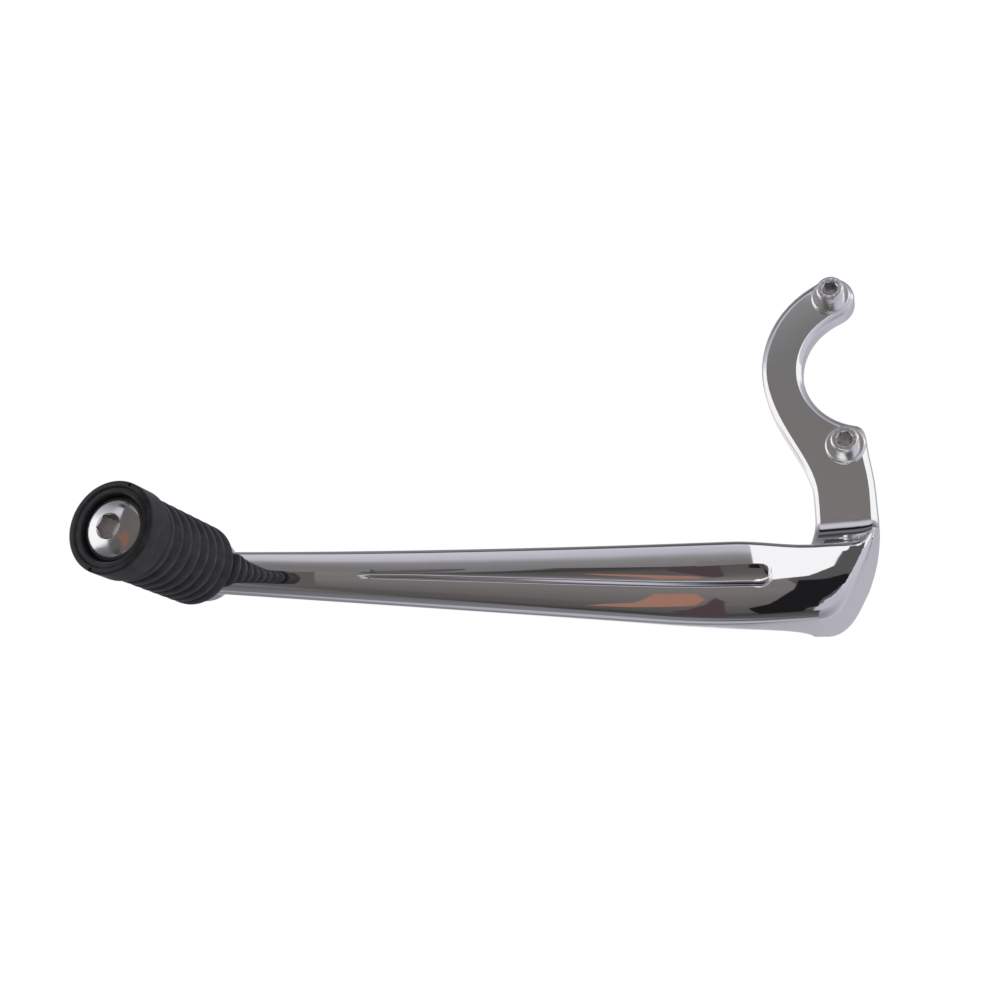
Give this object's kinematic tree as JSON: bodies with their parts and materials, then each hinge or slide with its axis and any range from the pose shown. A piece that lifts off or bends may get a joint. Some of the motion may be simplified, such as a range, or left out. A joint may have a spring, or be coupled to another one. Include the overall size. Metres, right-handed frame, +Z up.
{
  "type": "motorbike heel shift lever",
  "caption": "Chrome plated heel shift lever for a motorbike: a crescent mounting plate, a scooped corner, a long fluted arm and a ribbed rubber peg held by a button head screw.",
  "frame": {"origin": "midway between the axes of the two mounting screws, on the plate's mounting face", "axes": "+X along the arm away from the peg, +Y inboard along the mounting screws and out of the mounting face, +Z up as the lever is held in the picture; on the bike it is turned half a turn about Y"},
  "size_m": [0.2613, 0.1271, 0.1403],
  "materials": {
    "chrome": "mirror chrome plating on a polished casting",
    "plated_screw": "bright plated steel",
    "steel": "turned zinc plated steel",
    "rubber": "satin moulded rubber"
  },
  "bodies": {
    "root": {"lever_arm": "chrome", "peg_sleeve": "steel", "peg_rubber": "rubber", "peg_end_screw": "plated_screw", "upper_mounting_screw": "plated_screw", "lower_mounting_screw": "plated_screw", "upper_washer": "plated_screw", "lower_washer": "plated_screw"}
  },
  "joints": []
}
